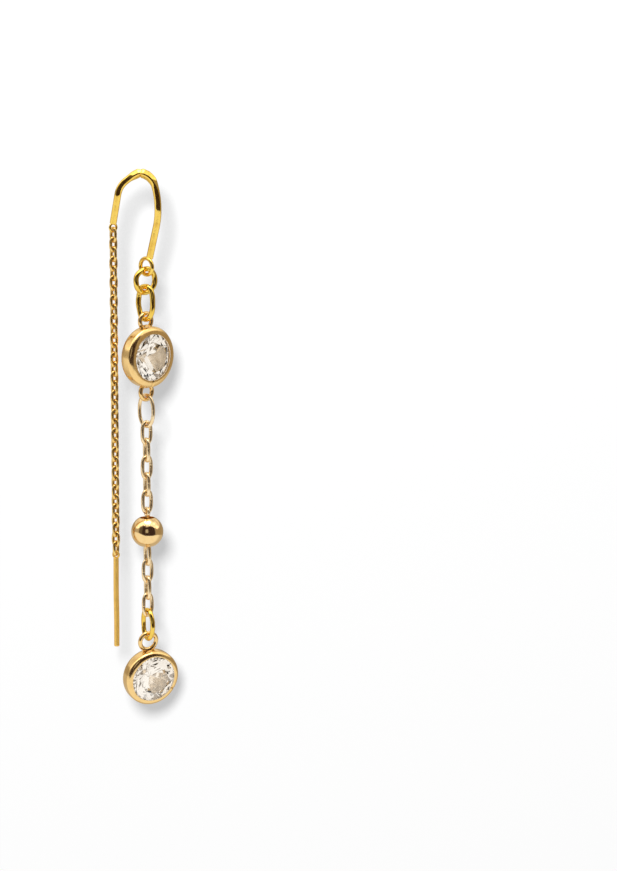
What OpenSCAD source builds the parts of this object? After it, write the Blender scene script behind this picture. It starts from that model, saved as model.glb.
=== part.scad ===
// Threader earring: a bent wire arch goes through the ear, and a fine chain with a straight post hangs behind
// the lobe. A string of rings, links, one bead and two bezel-set stones hangs in front of it.
// Millimetres. +Z is up, +X points to the side that the stones hang on, and the origin is the arch's crown.

/* [Ear arch] */
// Thickness of the arch's wire
arch_wire = 0.84; // [0.7:0.02:1]
// Bend radius of the small pinch at the crown
crown_bend_r = 0.6; // [0.5:0.05:1]
// Bend radius from the crown to the leg behind the lobe
back_bend_r = 3.8; // [3.2:0.1:5]
// Length of the straight leg behind the lobe
back_leg = 3.6; // [2:0.1:8]
// Bend radius of the shoulder in front of the lobe
front_bend_r = 2.25; // [1.6:0.05:3.5]
// Bend radius of the easy curve below that shoulder
front_curve_r = 11.5; // [8:0.5:16]
// Length of the straight leg in front of the lobe
front_leg = 4.15; // [2:0.05:8]
// Lean of both legs towards the back, from their bends down
leg_lean = 8; // [0:1:12]
// Outer diameter of the ring soldered to the front leg
arch_ring_d = 2.65; // [2.3:0.05:3.4]
// Wire of the ring soldered to the front leg
arch_ring_wire = 0.52; // [0.4:0.02:0.6]
// Outer diameter of the eye soldered to the back leg
arch_eye_d = 1.35; // [1.25:0.05:1.8]
// Wire of the eye soldered to the back leg
arch_eye_wire = 0.3; // [0.2:0.02:0.34]

/* [Threader chain and post] */
// Number of links in the threader chain
chain_links = 34; // [10:1:60]
// Outer length of a threader chain link
chain_link_l = 1.93; // [1.86:0.01:2.4]
// Outer width of a threader chain link
chain_link_w = 1.2; // [1.18:0.01:1.5]
// Twist of the chain from each link to the next, in degrees
chain_twist = 0.5; // [0:0.1:2]
// Wire of the threader chain
chain_wire = 0.28; // [0.2:0.01:0.29]
// Diameter of the post that goes through the ear first
post_d = 0.76; // [0.6:0.02:0.9]
// Length of the post, with its tip
post_l = 11.85; // [8:0.05:20]
// Length of the post's tapered tip
post_tip = 0.15; // [0.1:0.05:0.6]
// Outer diameter of the post's eye
post_eye_d = 1.14; // [1.1:0.01:1.4]

/* [Rings] */
// Wire of the two jump rings above the first stone
ring_wire = 0.7; // [0.56:0.02:0.74]
// Outer diameter of the first jump ring
upper_ring_d = 3.76; // [3.4:0.02:4.5]
// Outer length of the oval jump ring on the first bezel
middle_ring_l = 4.95; // [4.2:0.05:5.5]
// Outer width of the oval jump ring on the first bezel
middle_ring_w = 3.3; // [3:0.1:4]
// Wire of the oval ring that carries the lower stone
lower_ring_wire = 0.62; // [0.5:0.02:0.66]
// Outer length of the oval ring that carries the lower stone
lower_ring_l = 4.38; // [3.9:0.02:5.5]
// Outer width of the oval ring that carries the lower stone
lower_ring_w = 3.2; // [2.8:0.1:4]

/* [Drop chain] */
// Wire of the long link under the first stone
long_wire = 0.42; // [0.32:0.02:0.46]
// Outer length of the long link
long_link_l = 4.54; // [3.8:0.02:6]
// Outer width of the long link
long_link_w = 2.8; // [2.2:0.1:3.6]
// Wire of the drop chain's links
drop_wire = 0.42; // [0.32:0.01:0.44]
// Outer length of a drop chain link
drop_link_l = 3.24; // [3:0.02:4]
// Outer width of a drop chain link
drop_link_w = 1.9; // [1.86:0.02:2.5]

/* [Bead] */
// Diameter of the ball bead
bead_d = 4.22; // [4:0.02:6]
// Diameter of the bore through the bead
bead_bore_d = 1; // [0.8:0.05:1.2]
// Diameter of the wide mouth at each end of the bore
bead_mouth_d = 1.9; // [1.86:0.02:2.2]
// Depth of each wide mouth
bead_mouth_depth = 1.47; // [1.2:0.01:1.48]
// Wire of the pin through the bead
pin_wire = 0.4; // [0.3:0.02:0.44]
// Outer diameter of the eye on each end of the pin
pin_eye_d = 1.5; // [1.44:0.02:1.52]
// Length of the pin over both eyes
pin_l = 5.57; // [5:0.05:7]

/* [Bezels and stones] */
// Outer diameter of the upper bezel
upper_bezel_d = 8; // [7.6:0.05:9]
// Outer diameter of the lower bezel
lower_bezel_d = 7.5; // [7.4:0.05:9]
// Diameter of the opening that shows the stone
view_d = 6.06; // [5.6:0.02:6.2]
// Diameter of each stone at its girdle
stone_d = 6.5; // [6.3:0.05:6.6]
// Width of a stone's table
table_d = 3.9; // [3:0.1:4.4]
// Angle of a stone's crown
crown_angle = 34; // [30:0.5:36]
// Angle of a stone's pavilion
pavilion_angle = 41; // [39:0.5:41.5]
// Height of the lip's edge above the plane of the loops
lip_h = 1.4; // [1.3:0.05:1.8]
// Rounding between a bezel's lip and its wall
lip_round = 0.5; // [0.3:0.05:0.55]
// Depth of the straight wall below the plane of the loops
wall_h = 0.4; // [0.2:0.05:1]
// Depth of the bezel's back below the plane of the loops
back_h = 2.4; // [2.35:0.05:3]
// Diameter of the bezel's flat back
back_d = 4; // [3:0.1:5]
// Wire of the soldered loops
loop_wire = 0.5; // [0.4:0.02:0.56]
// Outer diameter of the upper bezel's two loops
upper_loop_d = 2.5; // [2.36:0.02:3]
// Distance from the upper bezel's centre to the centre of each loop
upper_loop_reach = 4.65; // [4.6:0.01:4.9]
// Outer diameter of the lower bezel's loop
lower_loop_d = 2.8; // [2.6:0.02:3]
// Distance from the lower bezel's centre to the centre of its loop
lower_loop_reach = 4.92; // [4.7:0.01:5]

/* [How it hangs] */
// Clear gap between pieces that are linked
gap = 0.12; // [0.12:0.01:0.16]
// How far the front ring sits inside the line of the front leg
arch_ring_set = 0.42; // [0:0.02:0.44]
// How far the drop hangs inside the centre of the front ring
string_set = 0.14; // [0:0.02:0.14]
// Turn of the upper bezel's face to the right
upper_face_turn = 45.7; // [30:0.1:60]
// Turn of the lower bezel's face to the right
lower_face_turn = 28; // [15:0.5:45]
// Downward tilt of the lower bezel's face
lower_face_tilt = 9.5; // [0:0.5:14]
// Turn of the lower bezel in its own plane, which swings it away from the threader
lower_face_roll = 6; // [0:0.5:10]

/* [Hidden] */

// Turn about the vertical of each ring and link: 0 faces the front, and neighbours stand across each other
ARCH_RING_TURN = -43;
UPPER_RING_TURN = 40;
MIDDLE_RING_TURN = -42;
LONG_LINK_TURN = -40;
DROP_TURNS = [38, -66, 37, -66, 38];
TAIL_TURNS = [-64, 38, -66, 38];
LOWER_RING_TURN = -60;
ARCH_EYE_TURN = 41;
CHAIN_TURN = -47;

ROUND = 48;
ARCH_SIDES = 16;
// Largest turn of the arch's wire between two rows, in degrees
BEND_STEP = 5;
LINK_SIDES = 6;
CHAIN_STEPS = 12;
RING_STEPS = 16;
// Squareness of an oval: 2 is an ellipse, more has straighter sides
LINK_SQUARE = 2.5;
RING_SQUARE = 2.2;

// Bends of the arch from its crown to each end: one row for each piece of wire, which leans back or doesn't
RADIUS = 0;
TURN = 1;
LENGTH = 2;
LEANS = 3;
front_run = [
    [crown_bend_r, 10, 0, 0],
    [front_bend_r, 65, 0, 0],
    [front_curve_r, 15, 0, 0],
    [front_curve_r, 12.5, 0, 1],
    [0, 0, front_leg, 1]
];
back_run = [
    [crown_bend_r, 15, 0, 0],
    [back_bend_r, 65, 0, 0],
    [0, 0, back_leg, 1]
];

// Slope below the horizontal, and place [across, down, back], after the first n pieces of a run
function slope(run, n) = n == 0 ? 0 : slope(run, n - 1) + run[n - 1][TURN];
function place(run, n) = n == 0 ? [0, 0, 0] :
    let (
        a = slope(run, n - 1),
        b = slope(run, n),
        piece = run[n - 1],
        across = piece[RADIUS] * (sin(b) - sin(a)) + piece[LENGTH] * cos(b),
        down = piece[RADIUS] * (cos(a) - cos(b)) + piece[LENGTH] * sin(b)
    )
    place(run, n - 1) + [across, down, piece[LEANS] * down * tan(leg_lean)];
function run_end(run) = place(run, len(run));

// Places of a run's wire from the crown on, as rows for a sweep; side is 1 towards +X and -1 towards -X
function run_rows(run, side) = [
    for (i = [0:len(run) - 1])
        let (steps = max(1, ceil(run[i][TURN] / BEND_STEP)))
        for (k = [1:steps])
            let (
                part = [run[i][RADIUS], run[i][TURN] * k / steps, run[i][LENGTH], run[i][LEANS]],
                pieces = [for (j = [0:i]) j < i ? run[j] : part],
                at = place(pieces, i + 1),
                s = slope(pieces, i + 1)
            )
            [side * at[0], at[2], -at[1], -side * sin(s), -cos(s)]
];
function reversed(rows) = [for (i = [len(rows) - 1:-1:0]) rows[i]];

// Height of the upper wire of a piece that hangs in the lower wire of the piece above it
function hung(low_z, wire_above, wire_here) = low_z + (wire_above + wire_here) / 2 + gap;

front_end = run_end(front_run);
back_end = run_end(back_run);
arch_rows = concat(reversed(run_rows(back_run, -1)), [[0, 0, 0, 0, -1]], run_rows(front_run, 1));

// Threader side: places along the chain's vertical line
chain_x = -back_end[0];
chain_y = back_end[2];
arch_eye_z = -back_end[1] - (arch_eye_d - arch_eye_wire) / 2;
arch_eye_low = -back_end[1] - (arch_eye_d - arch_eye_wire);
chain_pitch = chain_link_l - 2 * chain_wire - gap;
chain_top_z = hung(arch_eye_low, arch_eye_wire, chain_wire) - (chain_link_l - chain_wire) / 2;
function chain_turn(i) = CHAIN_TURN + 90 * (i % 2) + chain_twist * i;
chain_low = chain_top_z - (chain_links - 1) * chain_pitch - (chain_link_l - chain_wire) / 2;
post_eye_z = hung(chain_low, chain_wire, chain_wire) - (post_eye_d - chain_wire) / 2;
post_top_z = post_eye_z - (post_eye_d - chain_wire) / 2;

// Drop side: each piece's centre and lower wire, from the arch ring down
arch_ring_x = front_end[0] - arch_ring_set;
string_x = arch_ring_x - string_set;
string_y = front_end[2];
arch_ring_z = -front_end[1] - (arch_ring_d - arch_ring_wire) / 2;
arch_ring_low = arch_ring_z - (arch_ring_d - arch_ring_wire) / 2;
upper_ring_z = hung(arch_ring_low, arch_ring_wire, ring_wire) - (upper_ring_d - ring_wire) / 2;
upper_ring_low = upper_ring_z - (upper_ring_d - ring_wire) / 2;
middle_ring_z = hung(upper_ring_low, ring_wire, ring_wire) - (middle_ring_l - ring_wire) / 2;
middle_ring_low = middle_ring_z - (middle_ring_l - ring_wire) / 2;
upper_loop_span = upper_loop_reach + (upper_loop_d - loop_wire) / 2;
upper_bezel_z = hung(middle_ring_low, ring_wire, loop_wire) - upper_loop_span;
upper_loop_low = upper_bezel_z - upper_loop_span;
long_link_z = hung(upper_loop_low, loop_wire, long_wire) - (long_link_l - long_wire) / 2;
long_link_low = long_link_z - (long_link_l - long_wire) / 2;
drop_pitch = drop_link_l - 2 * drop_wire - gap;
drop_half = (drop_link_l - drop_wire) / 2;
drop_top_z = hung(long_link_low, long_wire, drop_wire) - drop_half;
drop_low = drop_top_z - (len(DROP_TURNS) - 1) * drop_pitch - drop_half;
pin_top_z = hung(drop_low, drop_wire, pin_wire) + pin_wire / 2;
pin_low = pin_top_z - pin_l + pin_wire / 2;
bead_z = pin_top_z - pin_l + pin_eye_d + gap + bead_d / 2 - bead_mouth_depth;
tail_top_z = hung(pin_low, pin_wire, drop_wire) - drop_half;
tail_low = tail_top_z - (len(TAIL_TURNS) - 1) * drop_pitch - drop_half;
lower_ring_z = hung(tail_low, drop_wire, lower_ring_wire) - (lower_ring_l - lower_ring_wire) / 2;
lower_ring_low = lower_ring_z - (lower_ring_l - lower_ring_wire) / 2;
lower_loop_top = (lower_ring_wire + loop_wire) / 2 + 1.4 * gap;
lower_bezel_drop = lower_loop_reach + (lower_loop_d - loop_wire) / 2 - lower_loop_top;

// Stone: the girdle lies under the lip, and heights are above the plane of the bezel's loops
lip_edge = 0.12;
girdle_h = 0.12;
girdle_z = lip_h - lip_edge - 1.25 * gap / cos(crown_angle) - (stone_d - view_d) / 2 * tan(crown_angle);
culet_z = girdle_z - girdle_h - stone_d / 2 * tan(pavilion_angle);
lip_slope = 20;

// Point of an oval of outer length and width at angle a, on the wire's centre line
function bulge(v, square) = sign(v) * pow(abs(v), 2 / square);
function oval_point(l, w, wire, square, a) =
    [(w - wire) / 2 * bulge(cos(a), square), (l - wire) / 2 * bulge(sin(a), square)];

// Round wire swept along rows of [x, y, z, outward x, outward z]
module swept(rows, wire, sides, closed) {
    count = len(rows);
    points = [
        for (row = rows, j = [0:sides - 1])
            let (a = 360 * j / sides, out = wire / 2 * cos(a))
            [row[0] + out * row[3], row[1] + wire / 2 * sin(a), row[2] + out * row[4]]
    ];
    walls = [
        for (i = [0:closed ? count - 1 : count - 2], j = [0:sides - 1])
            let (
                a = i * sides + j,
                b = i * sides + (j + 1) % sides,
                c = (i + 1) % count * sides + (j + 1) % sides,
                d = (i + 1) % count * sides + j
            )
            for (face = [[a, b, c], [a, c, d]]) face
    ];
    ends = [
        [for (j = [0:sides - 1]) j],
        [for (j = [sides - 1:-1:0]) (count - 1) * sides + j]
    ];
    polyhedron(points = points, faces = concat(walls, closed ? [] : ends), convexity = 4);
}

// Oval link of round wire, standing in the XZ plane with its length along Z
module oval_link(l, w, wire, square, steps) {
    turn = 360 / steps;
    rows = [
        for (i = [0:steps - 1])
            let (
                here = oval_point(l, w, wire, square, i * turn),
                before = oval_point(l, w, wire, square, (i - 0.5) * turn),
                run = oval_point(l, w, wire, square, (i + 0.5) * turn) - before
            )
            [here[0], 0, here[1], run[1] / norm(run), -run[0] / norm(run)]
    ];
    swept(rows, wire, LINK_SIDES, true);
}

// Round ring of round wire, lying in the XY plane
module flat_ring(d, wire) {
    rotate_extrude($fn = ROUND) translate([(d - wire) / 2, 0]) circle(d = wire, $fn = ROUND / 2);
}

// Round ring standing upright and turned about the vertical
module ring(d, wire, turn) {
    rotate([0, 0, turn]) rotate([90, 0, 0]) flat_ring(d, wire);
}

module ear_arch() {
    color([0.89, 0.68, 0.2]) {
        swept(arch_rows, arch_wire, ARCH_SIDES, false);
        translate([arch_ring_x, string_y, arch_ring_z]) ring(arch_ring_d, arch_ring_wire, ARCH_RING_TURN);
        translate([chain_x, chain_y, arch_eye_z]) ring(arch_eye_d, arch_eye_wire, ARCH_EYE_TURN);
    }
}

module threader_chain() {
    color([0.74, 0.56, 0.22])
        for (i = [0:chain_links - 1])
            translate([chain_x, chain_y, chain_top_z - i * chain_pitch]) rotate([0, 0, chain_turn(i)])
                oval_link(chain_link_l, chain_link_w, chain_wire, LINK_SQUARE, CHAIN_STEPS);
}

module threader_post() {
    color([0.82, 0.63, 0.24]) translate([chain_x, chain_y, 0]) {
        translate([0, 0, post_eye_z]) ring(post_eye_d, chain_wire, chain_turn(chain_links));
        translate([0, 0, post_top_z - post_l + post_tip])
            cylinder(d = post_d, h = post_l - post_tip, $fn = ROUND);
        translate([0, 0, post_top_z - post_l])
            cylinder(d1 = post_d - 2 * post_tip, d2 = post_d, h = post_tip, $fn = ROUND);
    }
}

module jump_ring_upper() {
    color([0.87, 0.64, 0.15]) translate([string_x, string_y, upper_ring_z])
        ring(upper_ring_d, ring_wire, UPPER_RING_TURN);
}

module jump_ring_middle() {
    color([0.87, 0.64, 0.15]) translate([string_x, string_y, middle_ring_z]) rotate([0, 0, MIDDLE_RING_TURN])
        oval_link(middle_ring_l, middle_ring_w, ring_wire, RING_SQUARE, RING_STEPS);
}

module jump_ring_lower() {
    color([0.87, 0.64, 0.15]) translate([string_x, string_y, lower_ring_z]) rotate([0, 0, LOWER_RING_TURN])
        oval_link(lower_ring_l, lower_ring_w, lower_ring_wire, RING_SQUARE, RING_STEPS);
}

module long_link() {
    color([0.93, 0.78, 0.52]) translate([string_x, string_y, long_link_z]) rotate([0, 0, LONG_LINK_TURN])
        oval_link(long_link_l, long_link_w, long_wire, RING_SQUARE, RING_STEPS);
}

module small_link(z, turn) {
    color([0.93, 0.78, 0.52]) translate([string_x, string_y, z]) rotate([0, 0, turn])
        oval_link(drop_link_l, drop_link_w, drop_wire, LINK_SQUARE, RING_STEPS);
}

module bead() {
    color([0.93, 0.78, 0.52]) translate([string_x, string_y, bead_z])
        difference() {
            sphere(d = bead_d, $fn = ROUND);
            cylinder(d = bead_bore_d, h = bead_d, center = true, $fn = ROUND);
            for (side = [-1, 1])
                translate([0, 0, side * bead_d / 2])
                    cylinder(d = bead_mouth_d, h = 2 * bead_mouth_depth, center = true, $fn = ROUND);
        }
}

module bead_pin() {
    eye_at = (pin_eye_d - pin_wire) / 2;
    color([0.88, 0.72, 0.42]) translate([string_x, string_y, 0]) {
        translate([0, 0, pin_top_z - pin_eye_d / 2]) ring(pin_eye_d, pin_wire, DROP_TURNS[1]);
        translate([0, 0, pin_top_z - pin_l + pin_eye_d / 2]) ring(pin_eye_d, pin_wire, TAIL_TURNS[0] + 90);
        translate([0, 0, pin_top_z - pin_l + pin_eye_d / 2 + eye_at])
            cylinder(d = pin_wire, h = pin_l - pin_eye_d - 2 * eye_at, $fn = ROUND / 2);
    }
}

// Bezel cup about Z, with its face towards +Z, its sloping back and its room for the stone
module cup(d) {
    start_r = d / 2 - lip_round + lip_round * sin(lip_slope);
    round_z = lip_h - lip_round * cos(lip_slope) - (start_r - view_d / 2) * tan(lip_slope);
    stone_r = stone_d / 2 + gap;
    rotate_extrude($fn = ROUND * 2) polygon(concat(
        [[0, -back_h], [back_d / 2, -back_h], [d / 2, -wall_h]],
        [for (a = [0:14:90 - lip_slope]) [d / 2 - lip_round * (1 - cos(a)), round_z + lip_round * sin(a)]],
        [[view_d / 2, lip_h], [view_d / 2, lip_h - lip_edge], [stone_r, girdle_z + gap]],
        [[stone_r, girdle_z - girdle_h - gap / 2], [0, culet_z - 2 * gap]]
    ));
}

// Places a bezel or its stone: its face looks to the front, turned to the right and tilted down
module faced(turn, tilt, roll) {
    rotate([0, 0, turn]) rotate([90 + tilt, 0, 0]) rotate([0, 0, roll]) children();
}

module upper_station() {
    translate([string_x, string_y, upper_bezel_z]) faced(upper_face_turn, 0, 0) children();
}

module lower_station() {
    translate([string_x, string_y, lower_ring_low]) faced(lower_face_turn, lower_face_tilt, lower_face_roll)
        translate([0, -lower_bezel_drop, 0]) children();
}

module upper_bezel() {
    color([0.94, 0.8, 0.55]) upper_station() {
        cup(upper_bezel_d);
        for (side = [-1, 1])
            translate([0, side * upper_loop_reach, 0]) flat_ring(upper_loop_d, loop_wire);
    }
}

module lower_bezel() {
    color([0.94, 0.8, 0.55]) lower_station() {
        cup(lower_bezel_d);
        translate([0, lower_loop_reach, 0]) flat_ring(lower_loop_d, loop_wire);
    }
}

// Round brilliant: table, stars, kites, upper and lower girdle facets and pavilion mains
module brilliant() {
    turn = 45;
    girdle_r = stone_d / 2;
    crown_t = tan(crown_angle);
    pavilion_t = tan(pavilion_angle);
    star_r = (table_d / 2 + girdle_r) / 2;
    low_r = girdle_r * 0.3;
    points = concat(
        [for (k = [0:7]) polar(table_d / 2, k * turn, girdle_z + (girdle_r - table_d / 2) * crown_t)],
        [for (k = [0:7])
            polar(star_r, (k + 0.5) * turn, girdle_z + (girdle_r - star_r * cos(turn / 2)) * crown_t)],
        [for (k = [0:15]) polar(girdle_r, k * turn / 2, girdle_z)],
        [for (k = [0:15]) polar(girdle_r, k * turn / 2, girdle_z - girdle_h)],
        [for (k = [0:7])
            polar(low_r, (k + 0.5) * turn, culet_z + low_r * cos(turn / 2) * pavilion_t)],
        [[0, 0, culet_z]]
    );
    // First point of each row of points, in the order above
    table = 0;
    star = 8;
    girdle = 16;
    base = 32;
    low = 48;
    culet = 56;
    faces = concat(
        [[for (k = [7:-1:0]) table + k]],
        [for (k = [0:7]) [table + k, table + (k + 1) % 8, star + k]],
        [for (k = [0:7]) [table + k, star + k, girdle + 2 * k, star + (k + 7) % 8]],
        [for (k = [0:7]) [star + k, girdle + 2 * k + 1, girdle + 2 * k]],
        [for (k = [0:7]) [star + k, girdle + (2 * k + 2) % 16, girdle + 2 * k + 1]],
        [for (k = [0:15]) [girdle + k, girdle + (k + 1) % 16, base + (k + 1) % 16, base + k]],
        [for (k = [0:7]) [low + k, base + 2 * k, base + 2 * k + 1]],
        [for (k = [0:7]) [low + k, base + 2 * k + 1, base + (2 * k + 2) % 16]],
        [for (k = [0:7]) [base + 2 * k, low + k, culet, low + (k + 7) % 8]]
    );
    polyhedron(points = points, faces = faces, convexity = 2);
}

function polar(r, a, z) = [r * cos(a), r * sin(a), z];

module upper_stone() {
    color([0.95, 0.95, 0.97, 0.5]) upper_station() brilliant();
}

module lower_stone() {
    color([0.95, 0.95, 0.97, 0.5]) lower_station() brilliant();
}

ear_arch();
threader_chain();
threader_post();
jump_ring_upper();
jump_ring_middle();
upper_bezel();
upper_stone();
long_link();
for (i = [0:len(DROP_TURNS) - 1])
    small_link(drop_top_z - i * drop_pitch, DROP_TURNS[i]);
bead();
bead_pin();
for (i = [0:len(TAIL_TURNS) - 1])
    small_link(tail_top_z - i * drop_pitch, TAIL_TURNS[i]);
jump_ring_lower();
lower_bezel();
lower_stone();
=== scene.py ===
"""Threader earring, dressed for its portrait.

A shape is worked out in millimetres as whole numpy arrays, in the CAD's frame: +Z is up, +X points to
the side of the stones and the origin is the arch's crown. finish_piece() turns it into metres.
"""
import math
import bpy
import bmesh
import numpy as np
from mathutils import Matrix, Vector


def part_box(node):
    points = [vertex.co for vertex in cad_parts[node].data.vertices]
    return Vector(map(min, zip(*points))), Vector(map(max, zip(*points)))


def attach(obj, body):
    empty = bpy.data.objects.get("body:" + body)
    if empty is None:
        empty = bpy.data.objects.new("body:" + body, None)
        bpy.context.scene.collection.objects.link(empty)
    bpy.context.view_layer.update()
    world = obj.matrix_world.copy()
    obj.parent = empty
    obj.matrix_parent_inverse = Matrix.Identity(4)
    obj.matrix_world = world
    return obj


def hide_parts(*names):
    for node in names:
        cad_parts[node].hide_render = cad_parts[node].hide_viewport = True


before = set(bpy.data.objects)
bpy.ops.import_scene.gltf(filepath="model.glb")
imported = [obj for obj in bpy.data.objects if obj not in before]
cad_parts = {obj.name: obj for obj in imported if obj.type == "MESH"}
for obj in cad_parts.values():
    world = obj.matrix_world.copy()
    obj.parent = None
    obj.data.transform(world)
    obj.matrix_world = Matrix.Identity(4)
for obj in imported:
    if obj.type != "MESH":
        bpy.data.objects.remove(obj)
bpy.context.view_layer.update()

MM = 0.001
HANGS = "hanging_parts"
DROP = "drop"

# Sizes in millimetres and turns in degrees. Most are those of the part's source.
ARCH_WIRE = 0.84
LEG_LEAN = 8
# Bends of the arch from its crown down each leg: radius, turn, straight length, and share of the lean
FRONT_RUN = [(0.6, 10, 0, 0), (2.25, 65, 0, 0), (11.5, 15, 0, 0), (11.5, 12.5, 0, 1), (0, 0, 4.15, 1)]
BACK_RUN = [(0.6, 24, 0, 0), (7, 16, 0, -0.26), (2.84, 40, 0, 0), (0, 0, 3.87, 1)]
# Marks of the pliers at the crown, in millimetres along the wire from its top
HELD_AT = 0.55
HELD_REACH = 1.8
PINCH_AT = 0.09
PINCH_REACH = 0.11
PINCH_DEEP = 0.2
BUMPS = [(0.45, 0.2, 1), (0.95, 0.22, 0.7)]
BUMP_HIGH = 0.08
# Where along the wire, and by how many degrees, its flat side is turned from level
TURN_AT = [-4.3, -2.9, -1.3, -0.75, 1.9, 5.3]
TURN_BY = [0, -14, -26, -42, -42, 0]
# The flattened section on the legs and what the crown adds: fuller width, squareness, depth over width
ARCH_FULLER = (0.06, 0.1)
ARCH_SQUARE = (2.6, 1.4)
ARCH_DEPTH = (0.82, 0.13)
ARCH_RING = dict(width=2.65, wire=0.52, turn=-43, inset=0.42, solder=(0.42, 0.36, 0.26))
ARCH_EYE = dict(width=1.35, wire=0.3, turn=41, solder=(0.24, 0.2, 0.17))
CHAIN = dict(links=34, length=1.93, width=1.2, wire=0.28, gap=0.12, turn=-47, twist=0.5)
# The shown links against the CAD's, whose thinner wires keep a wider gap
CHAIN_SHOWN = dict(longer=0.2, wider=0.06, wire=0.415, turn=-6)
LINK_SHOWN = dict(longer=0.08, wider=-0.08, wire=0.49)
LONG_SHOWN = dict(longer=0.04, wider=0.08, wire=0.47)
LOOP_SHOWN_WIRE = 0.57
POST = dict(wire=0.7, edge=0.13, bend=0.02, eye=1.14, eye_wire=0.28, solder=(0.26, 0.24, 0.12))
UPPER_RING = dict(length=3.76, width=3.76, wire=0.7, square=2, turn=40)
MIDDLE_RING = dict(length=4.95, width=3.3, wire=0.7, square=2.2, turn=-42)
LOWER_RING = dict(length=4.38, width=3.2, wire=0.62, square=2.2, turn=-60)
LONG_LINK = dict(length=4.54, width=2.8, wire=0.42, square=2.2, turn=-40)
SMALL_LINK = dict(length=3.24, width=1.9, wire=0.42, square=2.5)
DROP_TURNS = [38, -66, 37, -66, 38]
TAIL_TURNS = [-64, 38, -66, 38]
RING_STEPS = 96
# The seam of a closed ring: the share of the wire's thickness that is missing, and its length in steps
SEAM_DEEP = 0.09
SEAM_LONG = 0.5

BEAD = dict(width=4.22, bore=1.0, mouth=1.9, mouth_depth=1.47)
PIN = dict(wire=0.4, eye=1.5)
STONE = dict(width=6.5, pavilion=41, crown=34, girdle=0.12)
CUP = dict(view=6.06, lip=1.4, rise=0.62, square=2.3, wall=0.4, back=2.4, back_width=4.0, edge=0.12,
           gap=0.12)
UPPER_CUP = dict(width=8.0, loop=2.5, reach=4.65, turn=45.7, tilt=0, roll=0, join=-90)
LOWER_CUP = dict(width=7.5, loop=2.8, reach=4.92, turn=28, tilt=9.5, roll=6, join=-35)
LOOP_WIRE = 0.5
LOOP_SOLDER = (0.62, 0.2, 0.3)
# What the hand left on a cup's lip: unevenness of its inner edge and of its height, and the join's cut
LIP_PUSH = 0.012
LIP_UNEVEN = 0.025
JOIN_DEEP = 0.12
JOIN_WIDE = 0.022

# The backdrop's size and its distance behind the crown at its low and high edge, in metres
BACKDROP_REACH = 0.7
BACKDROP_LOW = -0.0023
BACKDROP_HIGH = 0.0193

# Light on the paper: an even part and the key light's part, just over white together
AMBIENT = 0.56
KEY_WATTS = 7.6
KEY_LEFT = 6.5
KEY_UP = 25.2
KEY_AWAY = 1.2
KEY_WIDTH = 0.34


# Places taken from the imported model

def node_box(node):
    """Lowest and highest corner of a CAD node, in millimetres."""
    low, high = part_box(node)
    return np.array(low) / MM, np.array(high) / MM


def node_centre(node):
    """Middle of a CAD node's box, in millimetres."""
    low, high = node_box(node)
    return (low + high) / 2


def turned(points, degrees, place):
    """Turns points about the vertical and moves them to their place."""
    a = math.radians(degrees)
    spin = np.array([[math.cos(a), -math.sin(a), 0], [math.sin(a), math.cos(a), 0], [0, 0, 1]])
    return points @ spin.T + np.asarray(place)


# Surfaces

def grid_faces(rows, columns, closed):
    """Four-sided faces of a grid whose columns close round; closed joins the last row to the first."""
    i = np.arange(rows if closed else rows - 1)[:, None]
    j = np.arange(columns)[None, :]
    here = i * columns
    ahead = (i + 1) % rows * columns
    beside = (j + 1) % columns
    return np.stack([here + j, here + beside, ahead + beside, ahead + j], axis=-1).reshape(-1, 4)


def skin(name, surfaces):
    """One mesh object, still in millimetres, from (points[rows, columns, 3], closed) surfaces.

    Rows that shrink to one point become a pole when their doubles are merged.
    """
    points = []
    faces = []
    start = 0
    for grid, closed in surfaces:
        rows, columns = grid.shape[:2]
        points.append(grid.reshape(-1, 3))
        faces.append(grid_faces(rows, columns, closed) + start)
        start += rows * columns
    mesh = bpy.data.meshes.new(name)
    mesh.from_pydata(np.concatenate(points).tolist(), [], np.concatenate(faces).tolist())
    shape = bmesh.new()
    shape.from_mesh(mesh)
    bmesh.ops.remove_doubles(shape, verts=shape.verts, dist=1e-5)
    bmesh.ops.recalc_face_normals(shape, faces=shape.faces)
    shape.to_mesh(mesh)
    shape.free()
    made = bpy.data.objects.new(name, mesh)
    bpy.context.collection.objects.link(made)
    return made


def soldered(main, parts):
    """Joins the parts to the main piece in one skin."""
    for part in parts:
        join = main.modifiers.new("join", 'BOOLEAN')
        join.operation = 'UNION'
        join.solver = 'EXACT'
        join.object = part
    whole = main.evaluated_get(bpy.context.evaluated_depsgraph_get())
    mesh = bpy.data.meshes.new_from_object(whole)
    main.modifiers.clear()
    main.data = mesh
    for part in parts:
        bpy.data.objects.remove(part)
    return main


def finish_piece(made, nodes, body, material, sharp=38):
    """Turns a piece into metres and gives it its shading, finish, body and place in the model."""
    mesh = made.data
    spots = np.empty(len(mesh.vertices) * 3)
    mesh.vertices.foreach_get("co", spots)
    mesh.vertices.foreach_set("co", spots * MM)
    mesh.update()
    mesh.shade_smooth()
    mesh.set_sharp_from_angle(angle=math.radians(sharp))
    mesh.materials.clear()
    mesh.materials.append(material)
    made.visible_diffuse = False
    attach(made, body)
    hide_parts(*nodes)
    return made


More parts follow.
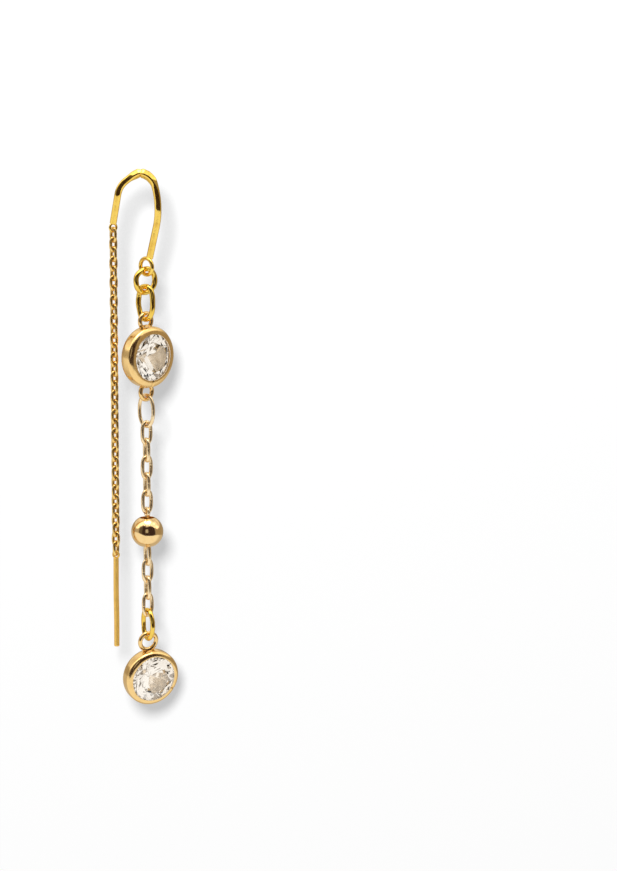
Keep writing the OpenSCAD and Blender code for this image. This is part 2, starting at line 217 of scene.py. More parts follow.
def tube(path, wire, sides=20, closed=False, level=(0, 1, 0), square=2.0, roll=0.0, depth=1.0):
    """Wire along a path: centre + wire / 2 * (c * outward + depth * s * level).

    c and s are signed powers of cos(a) and sin(a), as in a superellipse: square is 2 for round and more
    for flattened sides. roll turns the section about the path, in degrees. Each may change on the way.
    """
    if closed:
        ahead = np.roll(path, -1, axis=0) - np.roll(path, 1, axis=0)
    else:
        ahead = np.gradient(path, axis=0)
    ahead /= np.linalg.norm(ahead, axis=1)[:, None]
    level = np.asarray(level, float)
    level = level - (ahead @ level)[:, None] * ahead
    level /= np.linalg.norm(level, axis=1)[:, None]
    outward = np.cross(level, ahead)
    turn = np.radians(np.broadcast_to(roll, len(path)))[:, None]
    side = np.cos(turn) * outward + np.sin(turn) * level
    front = np.cos(turn) * level - np.sin(turn) * outward
    a = np.linspace(0, 2 * np.pi, sides, endpoint=False)[None, :]
    power = 2 / np.broadcast_to(square, len(path))[:, None]
    across = (np.sign(np.cos(a)) * np.abs(np.cos(a)) ** power)[..., None]
    deep = (np.sign(np.sin(a)) * np.abs(np.sin(a)) ** power)[..., None]
    deep = deep * np.broadcast_to(depth, len(path))[:, None, None]
    radius = np.broadcast_to(np.asarray(wire, float) / 2, len(path))[:, None, None]
    return path[:, None] + radius * (across * side[:, None] + deep * front[:, None])


def cut_ends(path, wire, edge):
    """Path and widths of an open wire whose flat ends have their edge rounded by a quarter circle."""
    wire = np.broadcast_to(wire, len(path))
    t = np.linspace(0, np.pi / 2, 5)
    depth = edge * (1 - np.cos(t))
    narrow = 2 * edge * (1 - np.sin(t))
    first = (path[1] - path[0]) / np.linalg.norm(path[1] - path[0])
    last = (path[-2] - path[-1]) / np.linalg.norm(path[-2] - path[-1])
    away = np.minimum(np.linalg.norm(path - path[0], axis=1), np.linalg.norm(path - path[-1], axis=1))
    kept = away > 1.5 * edge
    head = path[0] + depth[:, None] * first
    tail = path[-1] + depth[::-1, None] * last
    route = np.concatenate([path[:1], head, path[kept], tail, path[-1:]])
    width = np.concatenate([[0], wire[0] - narrow, wire[kept], wire[-1] - narrow[::-1], [0]])
    return route, width


def open_wire(path, wire, edge, sides=20, square=2.0, roll=0.0, depth=1.0):
    """Wire with cut ends. The end discs shrink to a pole that keeps the direction of the wire."""
    route, width = cut_ends(path, wire, edge)
    route[0] = route[1] - 1e-6 * (route[2] - route[1])
    route[-1] = route[-2] - 1e-6 * (route[-3] - route[-2])
    nearest = np.argmin(np.linalg.norm(route[:, None] - path[None], axis=2), axis=1)
    shape = [np.broadcast_to(one, len(path))[nearest] for one in (square, roll, depth)]
    return tube(route, width, sides, square=shape[0], roll=shape[1], depth=shape[2]), False


def oval(length, width, wire, square, steps=64):
    """Upright superellipse at even steps: half size times a signed power of cos and sin."""
    a = np.linspace(0, 2 * np.pi, 1441)
    power = 2 / square
    x = (width - wire) / 2 * np.sign(np.cos(a)) * np.abs(np.cos(a)) ** power
    z = (length - wire) / 2 * np.sign(np.sin(a)) * np.abs(np.sin(a)) ** power
    along = np.concatenate([[0], np.cumsum(np.hypot(np.diff(x), np.diff(z)))])
    even = np.linspace(0, along[-1], steps, endpoint=False)
    return np.stack([np.interp(even, along, x), np.zeros(steps), np.interp(even, along, z)], axis=1)


def wave(a, seed, strength):
    """Slow unevenness round a circle: a sum of five sine waves with seeded phases."""
    rng = np.random.default_rng(seed)
    count = np.arange(2, 7)
    phase = rng.uniform(0, 2 * np.pi, 5)
    size = rng.uniform(0.4, 1, 5) / count
    return strength * np.sum(size * np.sin(np.asarray(a)[..., None] * count + phase), axis=-1)


def softened(corners, radius, steps=6):
    """Profile line whose inner corners are rounded by a quadratic curve between their neighbours."""
    corners = np.asarray(corners, float)
    t = np.linspace(0, 1, steps)[:, None]
    line = [corners[:1]]
    for before, here, after in zip(corners[:-2], corners[1:-1], corners[2:]):
        reach_in = min(radius, 0.45 * np.linalg.norm(before - here))
        reach_out = min(radius, 0.45 * np.linalg.norm(after - here))
        start = here + reach_in * (before - here) / np.linalg.norm(before - here)
        end = here + reach_out * (after - here) / np.linalg.norm(after - here)
        line.append((1 - t) ** 2 * start + 2 * t * (1 - t) * here + t ** 2 * end)
    line.append(corners[-1:])
    return np.concatenate(line)


def revolved(profile, around):
    """Profile of (radius, height) turned about Z."""
    a = np.linspace(0, 2 * np.pi, around, endpoint=False)
    radius = profile[:, 0, None]
    height = np.repeat(profile[:, 1, None], around, 1)
    return np.stack([radius * np.cos(a), radius * np.sin(a), height], axis=-1)


def solder_drop(place, size, seed):
    """Small lump of solder: an uneven ellipsoid with half sizes in x, y and z."""
    t = np.linspace(0, np.pi, 15)
    grid = revolved(np.stack([np.sin(t), np.cos(t)], axis=1), 28)
    a = np.linspace(0, 2 * np.pi, 28, endpoint=False)
    grid = grid * (1 + wave(a, seed, 0.05))[None, :, None]
    return grid * np.asarray(size) + np.asarray(place), False


# Pieces

def leg_path(run, side):
    """Wire from the crown down one leg: the sum of short steps along a slope and a smoothed lean."""
    step = 0.04
    slopes = []
    leans = []
    lengths = []
    slope = 0
    for radius, turn, straight, leaning in run:
        length = radius * math.radians(turn) + straight
        count = max(3, round(length / step))
        part = (np.arange(count) + 0.5) / count
        slopes.append(slope + turn * part)
        leans.append(np.full(count, leaning * LEG_LEAN))
        lengths.append(np.full(count, length / count))
        slope += turn
    slopes = np.concatenate(slopes)
    leans = np.concatenate(leans)
    lengths = np.concatenate(lengths)
    soft = np.hanning(13)[1:-1] / np.hanning(13)[1:-1].sum()
    leans = np.convolve(np.pad(leans, 5, mode="edge"), soft, mode="valid")
    slopes = np.radians(slopes)
    across = side * lengths * np.cos(slopes)
    down = lengths * np.sin(slopes)
    steps = np.stack([across, down * np.tan(np.radians(leans)), -down], axis=1)
    return np.cumsum(steps, axis=0)


def ring_surface(place, sizes, steps=48, sides=16):
    """Closed round ring, upright, turned about the vertical."""
    path = oval(sizes["width"], sizes["width"], sizes["wire"], 2, steps)
    return turned(tube(path, sizes["wire"], sides, closed=True), sizes["turn"], place), True


def make_arch(gold):
    """Ear wire, flattened by hand: level down the legs, and facing up where pliers held its crown."""
    front = leg_path(FRONT_RUN, 1)
    back = leg_path(BACK_RUN, -1)
    path = np.concatenate([back[::-1], [[0, 0, 0]], front])
    keep = np.unique(np.append(np.arange(0, len(path), 3), len(path) - 1))
    path = path[keep]
    from_crown = np.concatenate([[0], np.cumsum(np.linalg.norm(np.diff(path, axis=0), axis=1))])
    from_crown -= from_crown[np.argmin(np.linalg.norm(path, axis=1))]
    held = np.exp(-((from_crown - HELD_AT) / HELD_REACH) ** 6)
    pinch = np.exp(-((from_crown - PINCH_AT) / PINCH_REACH) ** 2)
    bumps = sum(size * np.exp(-((from_crown - at) / reach) ** 2) for at, reach, size in BUMPS)
    width = ARCH_WIRE + ARCH_FULLER[0] + ARCH_FULLER[1] * held + BUMP_HIGH * bumps - PINCH_DEEP * pinch
    square = ARCH_SQUARE[0] + ARCH_SQUARE[1] * held
    depth = ARCH_DEPTH[0] + ARCH_DEPTH[1] * held
    facing = np.interp(from_crown, TURN_AT, TURN_BY)
    wire = skin("ear_arch_dressed", [open_wire(path, width, 0.06, 44, square, facing, depth)])
    ring_place = front[-1] + [-ARCH_RING["inset"], 0, -(ARCH_RING["width"] - ARCH_RING["wire"]) / 2]
    eye_place = back[-1] + [0, 0, -(ARCH_EYE["width"] - ARCH_EYE["wire"]) / 2]
    parts = [
        skin("arch_ring", [ring_surface(ring_place, ARCH_RING, 72, 20)]),
        skin("arch_eye", [ring_surface(eye_place, ARCH_EYE, 56, 16)]),
        skin("ring_solder", [solder_drop(front[-1] + [-0.08, 0, 0], ARCH_RING["solder"], 3)]),
        skin("eye_solder", [solder_drop(back[-1] + [0, 0, -0.02], ARCH_EYE["solder"], 4)]),
    ]
    finish_piece(soldered(wire, parts), ["ear_arch"], HANGS, gold)


def make_threader_chain(gold):
    """All links of the threader chain at once: one link's wire, turned and lowered by arrays."""
    count = CHAIN["links"]
    top = node_box("threader_chain")[1][2]
    x, y = node_centre("threader_post")[:2]
    wire = CHAIN_SHOWN["wire"]
    length = CHAIN["length"] + CHAIN_SHOWN["longer"]
    width = CHAIN["width"] + CHAIN_SHOWN["wider"]
    link = tube(oval(length, width, wire, 2.5, 44), wire, 14, closed=True)
    number = np.arange(count)
    from_end = np.minimum(number, count - 1 - number)
    twist = CHAIN["twist"] * number + CHAIN_SHOWN["turn"] * np.minimum(from_end / 4, 1)
    a = np.radians(CHAIN["turn"] + 90 * (number % 2) + twist)[:, None, None]
    pitch = CHAIN["length"] - 2 * CHAIN["wire"] - CHAIN["gap"]
    z = top - CHAIN["length"] / 2 - pitch * number[:, None, None]
    links = np.stack([
        x + link[..., 0] * np.cos(a) - link[..., 1] * np.sin(a),
        y + link[..., 0] * np.sin(a) + link[..., 1] * np.cos(a),
        z + link[..., 2] + 0 * a,
    ], axis=-1)
    made = skin("threader_chain_dressed", [(one, True) for one in links])
    finish_piece(made, ["threader_chain"], HANGS, gold)


def make_post(gold):
    """Straight post with the faint bend of a handled wire, and the eye at the end of the chain."""
    low, high = node_box("threader_post")
    x, y = (low[:2] + high[:2]) / 2
    top = high[2] - POST["eye"] + POST["eye_wire"] / 2
    z = np.linspace(low[2], top, 90)
    part = (z - low[2]) / (top - low[2])
    bend = POST["bend"] * np.sin(7 * part) * 4 * part * (1 - part)
    path = np.stack([x + bend, y + 0.5 * bend, z], axis=1)
    rod = open_wire(path, POST["wire"], POST["edge"], sides=28)
    turn = CHAIN["turn"] + 90 * (CHAIN["links"] % 2) + CHAIN["twist"] * CHAIN["links"]
    eye_place = [x, y, high[2] - POST["eye"] / 2]
    eye = ring_surface(eye_place, dict(width=POST["eye"], wire=POST["eye_wire"], turn=turn))
    solder = solder_drop([x, y, top], POST["solder"], 5)
    parts = [skin("post_eye", [eye]), skin("post_solder", [solder])]
    made = soldered(skin("threader_post_dressed", [rod]), parts)
    finish_piece(made, ["threader_post"], HANGS, gold)


def make_ring(node, sizes, material, seam_at, shown=None, bent=0.0):
    """Ring or link with the fine butt seam where its wire was closed, a short narrow dip in the wire.

    shown gives a fuller wire than the CAD's, and bent is how far hand pliers left it out of shape.
    """
    shown = shown or dict(longer=0, wider=0, wire=sizes["wire"])
    length = sizes["length"] + shown["longer"]
    width = sizes["width"] + shown["wider"]
    path = oval(length, width, shown["wire"], sizes["square"], RING_STEPS)
    a = np.linspace(0, 2 * np.pi, RING_STEPS, endpoint=False)
    seed = sum(map(ord, node))
    path = path * (1 + wave(a, seed, bent))[:, None]
    path[:, 1] = wave(a, seed + 1, bent * sizes["width"] / 2)
    wire = shown["wire"] * (1 + wave(a, seed + 2, 0.6 * bent))
    from_seam = (np.arange(RING_STEPS) - (seam_at - 0.5) * RING_STEPS) % RING_STEPS - RING_STEPS / 2
    wire = wire * (1 - SEAM_DEEP * np.exp(-from_seam ** 2 / SEAM_LONG))
    grid = turned(tube(path, wire, 24, closed=True), sizes["turn"], node_centre(node))
    made = skin(node + "_dressed", [(grid, True)])
    finish_piece(made, [node], HANGS, material)


def make_bead(gold):
    """Ball with a drilled bore: a profile of bore, mouth and sphere, with its rims rounded over."""
    radius = BEAD["width"] / 2
    mouth = BEAD["mouth"] / 2
    bore = BEAD["bore"] / 2
    deep = radius - BEAD["mouth_depth"]
    rim = math.asin(mouth / radius)
    a = np.linspace(rim, np.pi - rim, 72)
    ball = np.stack([radius * np.sin(a), radius * np.cos(a)], axis=1)
    rim_z = radius * math.cos(rim)
    inside = softened([[bore, 0], [bore, deep], [mouth, deep + 0.1], [mouth, rim_z], ball[3]], 0.07)
    top = inside[:-1]
    bottom = np.stack([top[::-1, 0], -top[::-1, 1]], axis=1)
    profile = np.concatenate([top, ball[3:-3], bottom])
    grid = revolved(profile, 96) + node_centre("bead")
    made = skin("bead_dressed", [(grid, False)])
    finish_piece(made, ["bead"], HANGS, gold)


def make_pin(gold):
    """Pin through the bead, with an eye at each end that faces its link."""
    low, high = node_box("bead_pin")
    x, y = node_centre("bead")[:2]
    eye = PIN["eye"] / 2
    z = np.linspace(low[2] + PIN["eye"] - PIN["wire"], high[2] - PIN["eye"] + PIN["wire"], 12)
    path = np.stack([np.full(12, x), np.full(12, y), z], axis=1)
    ends = [("pin_top", high[2] - eye, DROP_TURNS[1]), ("pin_low", low[2] + eye, TAIL_TURNS[0] + 90)]
    parts = []
    for name, place, turn in ends:
        ring = ring_surface([x, y, place], dict(width=PIN["eye"], wire=PIN["wire"], turn=turn))
        parts.append(skin(name, [ring]))
    made = soldered(skin("bead_pin_dressed", [open_wire(path, PIN["wire"], 0.05)]), parts)
    finish_piece(made, ["bead_pin"], HANGS, gold)


def cup_profile(width):
    """Outline of the cup from the middle of its back round the lip to the middle of its room.

    The lip is a quarter of a superellipse from the wall to the inner edge, flat on top.
    """
    r = width / 2
    lip = CUP["lip"]
    view = CUP["view"] / 2
    a = np.linspace(0, np.pi / 2, 28)[:-1]
    power = 2 / CUP["square"]
    lip_out = view + (r - view) * np.cos(a) ** power
    lip_up = lip - CUP["rise"] * (1 - np.sin(a) ** power)
    lip_line = np.stack([lip_out, lip_up], axis=1)
    crown = math.radians(STONE["crown"])
    girdle_z = (lip - CUP["edge"] - 1.25 * CUP["gap"] / math.cos(crown)
                - (STONE["width"] / 2 - view) * math.tan(crown))
    culet_z = girdle_z - STONE["girdle"] - STONE["width"] / 2 * math.tan(math.radians(STONE["pavilion"]))
    stone_r = STONE["width"] / 2 + CUP["gap"]
    stone_low = girdle_z - STONE["girdle"] - CUP["gap"] / 2
    flat_back = [[0, -CUP["back"]], [CUP["back_width"] / 2, -CUP["back"]]]
    back = softened([*flat_back, [r, -CUP["wall"]], lip_line[0]], 0.6)
    inner_edge = [[view, lip], [view, lip - CUP["edge"]]]
    edge = softened([lip_line[-1], *inner_edge, [stone_r, girdle_z + CUP["gap"]]], 0.04, 5)
    room = softened([edge[-1], [stone_r, stone_low], [0, culet_z - 2 * CUP["gap"]]], 0.1, 5)
    return np.concatenate([back[:-1], lip_line, edge[1:], room[1:]])


def place_cup(points, pivot, sizes, drop):
    """Carries points from the cup's own plane, face towards +Z, to where the bezel hangs."""
    stand = (Matrix.Translation(Vector(pivot))
             @ Matrix.Rotation(math.radians(sizes["turn"]), 4, 'Z')
             @ Matrix.Rotation(math.radians(90 + sizes["tilt"]), 4, 'X')
             @ Matrix.Rotation(math.radians(sizes["roll"]), 4, 'Z')
             @ Matrix.Translation((0, -drop, 0)))
    stand = np.array(stand)
    return points @ stand[:3, :3].T + stand[:3, 3]


def line_room(cup, stone, glowing_lining):
    """Gives the pale lining, whose glow is painted light, to the faces of the cup that lie inside the
    stone's own reach, behind its edge.
    """
    cup.data.materials.append(glowing_lining)
    low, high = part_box(stone)
    middle = np.array((low + high) / 2)
    count = len(cup.data.polygons)
    spots = np.empty(count * 3)
    ways = np.empty(count * 3)
    cup.data.polygons.foreach_get("center", spots)
    cup.data.polygons.foreach_get("normal", ways)
    inward = middle - spots.reshape(-1, 3)
    reach = np.linalg.norm(inward, axis=1)
    faces_stone = np.sum(inward * ways.reshape(-1, 3), axis=1) > 0.3 * reach
    inside = faces_stone & (reach < 0.5 * STONE["width"] * MM)
    cup.data.polygons.foreach_set("material_index", inside.astype(np.int32))
    cup.data.update()


def make_cup(node, sizes, pivot, drop, loops, body, gold, glowing_lining, seed):
    """Bezel: a cup whose lip is pushed over the stone by hand, so its inner edge isn't quite round.

    A small cut across the lip marks where the bezel's strip was joined.
    """
    around = 288
    grid = revolved(cup_profile(sizes["width"]), around)
    a = np.linspace(0, 2 * np.pi, around, endpoint=False)
    flat = np.hypot(grid[..., 0], grid[..., 1])
    nearness = np.exp(-((flat - CUP["view"] / 2) / 0.25) ** 2) * (grid[..., 2] > CUP["lip"] - 0.3)
    push = 1 + nearness * wave(a, seed, LIP_PUSH)[None, :]
    grid = grid * np.stack([push, push, np.ones_like(push)], axis=-1)
    lip = np.clip((grid[..., 2] - 0.6) / 0.5, 0, 1)
    grid[..., 2] += lip * wave(a, seed + 1, LIP_UNEVEN)[None, :]
    from_join = (a - math.radians(sizes["join"]) + np.pi) % (2 * np.pi) - np.pi
    grid[..., 2] -= JOIN_DEEP * lip * np.exp(-(from_join / JOIN_WIDE) ** 2)[None, :]
    cup = skin(node + "_dressed", [(place_cup(grid, pivot, sizes, drop), False)])
    lying = np.array([[1, 0, 0], [0, 0, -1], [0, 1, 0]])
    path = oval(sizes["loop"], sizes["loop"], LOOP_WIRE, 2) @ lying
    round_loop = tube(path, LOOP_SHOWN_WIRE, 20, closed=True, level=(0, 0, 1))
    rim = sizes["width"] / 2 - 0.02
    parts = []
    for side in loops:
        loop = round_loop + [0, side * sizes["reach"], 0]
        lump, _ = solder_drop([0, side * rim, 0], LOOP_SOLDER, seed + side)
        parts.append(skin("loop", [(place_cup(loop, pivot, sizes, drop), True)]))
        parts.append(skin("lump", [(place_cup(lump, pivot, sizes, drop), False)]))
    made = finish_piece(soldered(cup, parts), [node], body, gold)
    line_room(made, node.replace("bezel", "stone"), glowing_lining)


def make_cups(gold, glowing_lining):
    """Both bezels: the upper hangs still, and the lower hangs from its ring and rides on the drop."""
    string = node_centre("jump_ring_upper")[:2]
    upper = [*string, node_centre("upper_bezel")[2]]
    make_cup("upper_bezel", UPPER_CUP, upper, 0, (1, -1), HANGS, gold, glowing_lining, 11)
    ring_low = node_box("jump_ring_lower")[0][2] + LOWER_RING["wire"] / 2
    loop_top = (LOWER_RING["wire"] + LOOP_WIRE) / 2 + 1.4 * CUP["gap"]
    drop = LOWER_CUP["reach"] + (LOWER_CUP["loop"] - LOOP_WIRE) / 2 - loop_top
    make_cup("lower_bezel", LOWER_CUP, [*string, ring_low], drop, (1,), DROP, gold, glowing_lining, 21)


# Materials

def add(tree, kind, inputs=None, **settings):
    """New node; inputs gives each socket a value or another node's output."""
    made = tree.nodes.new(kind)
    for name, value in settings.items():
        setattr(made, name, value)
    for name, value in (inputs or {}).items():
        if isinstance(value, bpy.types.NodeSocket):
            tree.links.new(value, made.inputs[name])
        else:
            made.inputs[name].default_value = value
    return made


def maths(tree, operation, first, second=0.0):
    """Value of one Math node on two values or sockets."""
    return add(tree, 'ShaderNodeMath', {0: first, 1: second}, operation=operation).outputs[0]


def noise(tree, spot, scale, detail):
    """Value of one noise texture at the given spot."""
    return add(tree, 'ShaderNodeTexNoise', {"Vector": spot, "Scale": scale, "Detail": detail}).outputs["Fac"]


def handled_gold():
    """Group: gold that has been polished and handled, on Object coordinates in metres.

    Swells are the slow waves left by polishing, grain and scratches are fine, and tarnish is warm patches.
    """
    tree = bpy.data.node_groups.new("handled_gold", 'ShaderNodeTree')
    for name in ("Colour", "Tarnish Colour"):
        tree.interface.new_socket(name, in_out='INPUT', socket_type='NodeSocketColor')
    for name in ("Tarnish", "Roughness", "Swells", "Grain", "Size"):
        tree.interface.new_socket(name, in_out='INPUT', socket_type='NodeSocketFloat')
    for name, kind in (("Colour", 'Color'), ("Roughness", 'Float'), ("Normal", 'Vector')):
        tree.interface.new_socket(name, in_out='OUTPUT', socket_type='NodeSocket' + kind)
    given = add(tree, 'NodeGroupInput').outputs
    spot = add(tree, 'ShaderNodeTexCoord').outputs["Object"]
    slow_size = maths(tree, 'DIVIDE', 1.0, given["Size"])
    slow = noise(tree, spot, slow_size, 1.0)
    fine = noise(tree, spot, maths(tree, 'MULTIPLY', slow_size, 9.0), 3.0)
    patch = add(tree, 'ShaderNodeMapRange', {"Value": slow, "From Min": 0.5, "From Max": 0.72}).outputs[0]
    amount = maths(tree, 'MULTIPLY', patch, given["Tarnish"])
    colour = add(tree, 'ShaderNodeMix', data_type='RGBA')
    tree.links.new(amount, colour.inputs[0])
    tree.links.new(given["Colour"], colour.inputs[6])
    tree.links.new(given["Tarnish Colour"], colour.inputs[7])
    rub = add(tree, 'ShaderNodeMapRange', {"Value": fine, "From Min": 0.3, "From Max": 0.7,
                                           "To Min": 0.75, "To Max": 1.3}).outputs[0]
    rough = maths(tree, 'MULTIPLY', given["Roughness"], rub)
    swell = add(tree, 'ShaderNodeBump', {"Strength": given["Swells"], "Distance": 0.00004,
                                         "Height": slow})
    grain = add(tree, 'ShaderNodeBump', {"Strength": given["Grain"], "Distance": 0.000004,
                                         "Height": fine, "Normal": swell.outputs[0]})
    result = add(tree, 'NodeGroupOutput')
    tree.links.new(colour.outputs[2], result.inputs["Colour"])
    tree.links.new(rough, result.inputs["Roughness"])
    tree.links.new(grain.outputs[0], result.inputs["Normal"])
    return tree


def gold(name, group, colour, tarnish_colour, tarnish=0.5, roughness=0.1, swells=0.3, size=0.0009,
         metallic=1.0):
    """Gold finish: the shared group feeds colour, roughness and normal of one Principled shader."""
    material = bpy.data.materials.new(name)
    material.use_nodes = True
    tree = material.node_tree
    shader = tree.nodes["Principled BSDF"]
    worn = add(tree, 'ShaderNodeGroup', node_tree=group)
    worn.inputs["Colour"].default_value = (*colour, 1)
    worn.inputs["Tarnish Colour"].default_value = (*tarnish_colour, 1)
    worn.inputs["Tarnish"].default_value = tarnish
    worn.inputs["Roughness"].default_value = roughness
    worn.inputs["Swells"].default_value = swells
    worn.inputs["Grain"].default_value = 0.3
    worn.inputs["Size"].default_value = size
    shader.inputs["Metallic"].default_value = metallic
    tree.links.new(worn.outputs["Colour"], shader.inputs["Base Color"])
    tree.links.new(worn.outputs["Roughness"], shader.inputs["Roughness"])
    tree.links.new(worn.outputs["Normal"], shader.inputs["Normal"])
    return material


def glowing(material, colour, strength):
    """Lets a finish give off a little light of its own."""
    shader = material.node_tree.nodes["Principled BSDF"]
    shader.inputs["Emission Color"].default_value = (*colour, 1)
    shader.inputs["Emission Strength"].default_value = strength
    return material


def stone_glass(name, tint, roughness, index):
    """Cut clear stone: plain refracting glass, with the faintest haze on its facets."""
    material = bpy.data.materials.new(name)
    material.use_nodes = True
    tree = material.node_tree
    shader = tree.nodes["Principled BSDF"]
    spot = add(tree, 'ShaderNodeTexCoord').outputs["Object"]
    haze = noise(tree, spot, 1400.0, 2.0)
    rough = add(tree, 'ShaderNodeMapRange', {"Value": haze, "From Min": 0.4, "From Max": 0.8,
                                             "To Min": 0.0, "To Max": roughness}).outputs[0]
    tree.links.new(rough, shader.inputs["Roughness"])
    shader.inputs["Base Color"].default_value = (*tint, 1)
    shader.inputs["IOR"].default_value = index
    shader.inputs["Transmission Weight"].default_value = 1.0
    return material


def dress(node, material):
    """Gives a CAD node a better material without touching its mesh."""
    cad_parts[node].material_slots[0].material = material
    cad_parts[node].visible_diffuse = False


# Studio

def studio_world():
    """Light that reaches the jewellery, by direction: white table below, dim room in front, bright ceiling.

    The camera sees plain white instead, and matt surfaces get one soft even light, AMBIENT.
    """
    world = bpy.data.worlds.new("studio")
    bpy.context.scene.world = world
    world.use_nodes = True
    world.cycles.sampling_method = 'NONE'
    tree = world.node_tree
    tree.nodes.clear()
    way = add(tree, 'ShaderNodeTexCoord').outputs["Generated"]
    parts = add(tree, 'ShaderNodeSeparateXYZ', {0: way}).outputs
    height = parts["Z"]
    level = add(tree, 'ShaderNodeCombineXYZ', {"X": parts["X"], "Y": parts["Y"]}).outputs[0]
    level = add(tree, 'ShaderNodeVectorMath', {0: level}, operation='NORMALIZE').outputs[0]

    def dot(first, second):
        made = add(tree, 'ShaderNodeVectorMath', {0: first, 1: second}, operation='DOT_PRODUCT')
        return made.outputs["Value"]

    def ramp(value, start, end, low=0.0, high=1.0):
        return add(tree, 'ShaderNodeMapRange', {"Value": value, "From Min": start, "From Max": end,
                                                "To Min": low, "To Max": high},
                   interpolation_type='SMOOTHSTEP').outputs[0]

    def blend(amount, first, second):
        made = add(tree, 'ShaderNodeMix', data_type='RGBA')
        for socket, value in ((0, amount), (6, first), (7, second)):
            if isinstance(value, bpy.types.NodeSocket):
                tree.links.new(value, made.inputs[socket])
            else:
                made.inputs[socket].default_value = value
        return made.outputs[2]

    def times(first, second):
        return maths(tree, 'MULTIPLY', first, second)

    # Round the horizon, in radians from the camera's side, with the left negative
    facing = dot(level, (0, -1, 0))
    beside = maths(tree, 'ARCTAN2', dot(level, (1, 0, 0)), facing)
    colour = blend(ramp(beside, 1.0, 1.25), (0.5, 0.46, 0.41, 1), (0.38, 0.31, 0.22, 1))
    colour = blend(ramp(beside, 1.8, 2.3), colour, (0.45, 0.42, 0.38, 1))
    dusk = times(ramp(beside, -1.12, -0.98), ramp(beside, 1.2, 1.0))
    colour = blend(dusk, colour, (0.13, 0.11, 0.09, 1))
    dark = times(ramp(beside, -0.72, -0.5), ramp(beside, 1.15, 0.95))
    colour = blend(dark, colour, (0.046, 0.028, 0.026, 1))
    # A sliver of light in the middle of the dark
    off_middle = maths(tree, 'ABSOLUTE', beside)
    sliver = times(ramp(height, -0.04, 0.08), ramp(height, 0.5, 0.38))
    colour = blend(times(ramp(off_middle, 0.22, 0.12), sliver), colour, (0.5, 0.48, 0.45, 1))
    # The ceiling starts higher in front, where its edge is jagged, and has one lamp
    patches = ramp(noise(tree, way, 3.5, 2.0), 0.35, 0.65)
    ceiling = blend(patches, (1.25, 1.2, 1.1, 1), (2.0, 1.95, 1.85, 1))
    lift = maths(tree, 'SUBTRACT', height, ramp(facing, 0.05, 0.85, 0.28, 0.76))
    jagged = ramp(noise(tree, way, 9.0, 1.0), 0.3, 0.7, -0.06, 0.06)
    lift = maths(tree, 'ADD', lift, times(jagged, ramp(facing, 0.1, 0.6)))
    colour = blend(ramp(lift, -0.05, 0.06), colour, ceiling)
    lamp = dot(way, tuple(Vector((0.05, -0.12, 1)).normalized()))
    colour = blend(ramp(lamp, 0.93, 0.97), colour, (5, 4.9, 4.7, 1))
    # The table's far edge, which is higher on the left
    left_rise = ramp(beside, 0.0, -1.1, 0.0, 0.26)
    edge = maths(tree, 'ADD', ramp(facing, 0.2, 0.9, -0.31, -0.358), left_rise)
    over = maths(tree, 'SUBTRACT', height, edge)
    colour = blend(ramp(over, 0.008, -0.008), colour, (1.0, 0.985, 0.955, 1))
    # Behind the jewellery everything is duller, which draws its rims
    colour = blend(ramp(facing, 0.15, -0.55, 0.0, 0.6), colour, (0.36, 0.29, 0.2, 1))
    # What comes back through the stones: bright, with some grey and brown
    shifted = add(tree, 'ShaderNodeVectorMath', {0: way, 1: (0.6, 0.1, 1.3)}, operation='ADD').outputs[0]
    grey = ramp(noise(tree, shifted, 2.2, 2.0), 0.52, 0.66)
    inside = blend(grey, (1.1, 1.05, 0.98, 1), (0.3, 0.25, 0.2, 1))
    rays = add(tree, 'ShaderNodeLightPath').outputs
    colour = blend(rays["Is Transmission Ray"], colour, inside)
    colour = blend(rays["Is Diffuse Ray"], colour, (AMBIENT, AMBIENT, AMBIENT, 1))
    colour = blend(rays["Is Camera Ray"], colour, (1.0, 1.0, 1.0, 1))
    back = add(tree, 'ShaderNodeBackground', {"Color": colour})
    result = add(tree, 'ShaderNodeOutputWorld')
    tree.links.new(back.outputs[0], result.inputs["Surface"])


def one_sided(name, colour):
    """Matt white that lets a view from behind pass."""
    material = bpy.data.materials.new(name)
    material.use_nodes = True
    tree = material.node_tree
    shader = tree.nodes["Principled BSDF"]
    shader.inputs["Roughness"].default_value = 1.0
    shader.inputs["Specular IOR Level"].default_value = 0.0
    shader.inputs["Base Color"].default_value = (*colour, 1)
    away = add(tree, 'ShaderNodeNewGeometry').outputs["Backfacing"]
    tree.links.new(maths(tree, 'SUBTRACT', 1.0, away), shader.inputs["Alpha"])
    return material


def stage_sheet(name, corners, material):
    """Flat sheet that only the camera and the shadows see."""
    mesh = bpy.data.meshes.new(name)
    mesh.from_pydata(corners, [], [(0, 1, 2, 3)])
    mesh.materials.append(material)
    sheet = bpy.data.objects.new(name, mesh)
    bpy.context.collection.objects.link(sheet)
    sheet.visible_diffuse = False
    sheet.visible_glossy = False
    sheet.visible_transmission = False


def build_studio():
    """White paper behind the jewellery, and the key light whose disk gives the shadow its soft edge."""
    studio_world()
    side = BACKDROP_REACH
    corners = [(-side, BACKDROP_LOW, -side), (side, BACKDROP_LOW, -side),
               (side, BACKDROP_HIGH, side), (-side, BACKDROP_HIGH, side)]
    stage_sheet("backdrop", corners, one_sided("studio_paper", (0.98, 0.98, 0.98)))
    lamp = bpy.data.lights.new("key", 'AREA')
    lamp.shape = 'DISK'
    lamp.size = KEY_WIDTH
    lamp.energy = KEY_WATTS
    key = bpy.data.objects.new("key", lamp)
    bpy.context.collection.objects.link(key)
    left = math.radians(KEY_LEFT)
    up = math.radians(KEY_UP)
    target = Vector((0, 0, -0.035))
    level = math.cos(up)
    away = Vector((-math.sin(left) * level, -math.cos(left) * level, math.sin(up)))
    key.location = target + KEY_AWAY * away
    key.rotation_euler = away.to_track_quat('Z', 'Y').to_euler()
    key.visible_glossy = False
    key.visible_transmission = False


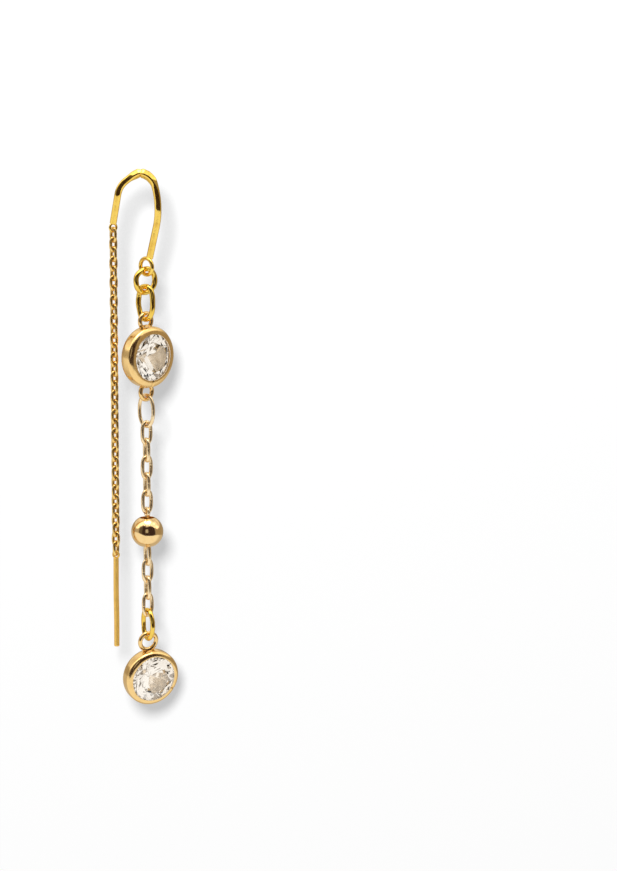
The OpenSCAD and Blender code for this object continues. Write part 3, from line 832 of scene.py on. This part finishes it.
def build_camera():
    """Camera half a metre in front and a little above, looking down by 10 degrees."""
    lens = bpy.data.cameras.new("camera")
    lens.sensor_fit = 'HORIZONTAL'
    lens.sensor_width = 36
    lens.lens = 3846 / 617 * 36
    lens.clip_start = 0.01
    camera = bpy.data.objects.new("camera", lens)
    bpy.context.collection.objects.link(camera)
    camera.location = (0.02164452, -0.49240388, 0.05258470)
    camera.rotation_euler = (math.radians(80), 0, 0)
    bpy.context.scene.camera = camera
    bpy.context.scene.view_settings.view_transform = 'Standard'


# Assembly

build_camera()
build_studio()
worn = handled_gold()
arch_gold = gold("arch_gold", worn, (0.956, 0.665, 0.141), (0.75, 0.42, 0.06), roughness=0.1)
ring_gold = gold("ring_gold", worn, (0.92, 0.64, 0.12), (0.7, 0.4, 0.05), roughness=0.12, swells=0.5)
pale_gold = gold("pale_gold", worn, (0.94, 0.68, 0.33), (0.8, 0.5, 0.2), tarnish=0.3, roughness=0.1)
link_gold = gold("link_gold", worn, (1.0, 0.8, 0.5), (0.8, 0.54, 0.24), roughness=0.25, swells=0.5)
chain_gold = gold("chain_gold", worn, (0.92, 0.64, 0.22), (0.6, 0.36, 0.08), roughness=0.22, size=0.0006)
post_gold = gold("post_gold", worn, (1.0, 0.63, 0.15), (0.85, 0.5, 0.1), roughness=0.4, metallic=0.7)
# Pale lining of the stones' seats. Its glow below is painted light that brightens the stones from behind.
glowing_lining = gold("seat_lining_painted_glow", worn, (0.9, 0.84, 0.75), (0.5, 0.42, 0.32), roughness=0.3, swells=0.8)
glowing(glowing_lining, (1, 0.86, 0.68), 0.22)
bezel_gold = gold("bezel_gold", worn, (0.93, 0.65, 0.28), (0.8, 0.5, 0.18), tarnish=0.4, roughness=0.17,
                  swells=0.45)
stone = stone_glass("cut_stone", (1, 0.975, 0.935), 0.03, 1.9)

make_arch(arch_gold)
make_threader_chain(chain_gold)
make_post(post_gold)
make_ring("jump_ring_upper", UPPER_RING, ring_gold, 0.62, bent=0.045)
make_ring("jump_ring_middle", MIDDLE_RING, ring_gold, 0.4, bent=0.045)
make_ring("jump_ring_lower", LOWER_RING, ring_gold, 0.55, bent=0.035)
make_ring("long_link", LONG_LINK, link_gold, 0.05, LONG_SHOWN)
for run, turns, seam_at in (("drop_link_", DROP_TURNS, 0.03), ("tail_link_", TAIL_TURNS, 0.53)):
    for number, turn in enumerate(turns, start=1):
        link = dict(SMALL_LINK, turn=turn)
        make_ring(run + str(number), link, link_gold, seam_at, LINK_SHOWN)
make_bead(pale_gold)
make_pin(link_gold)
make_cups(bezel_gold, glowing_lining)
for node in ("upper_stone", "lower_stone"):
    dress(node, stone)
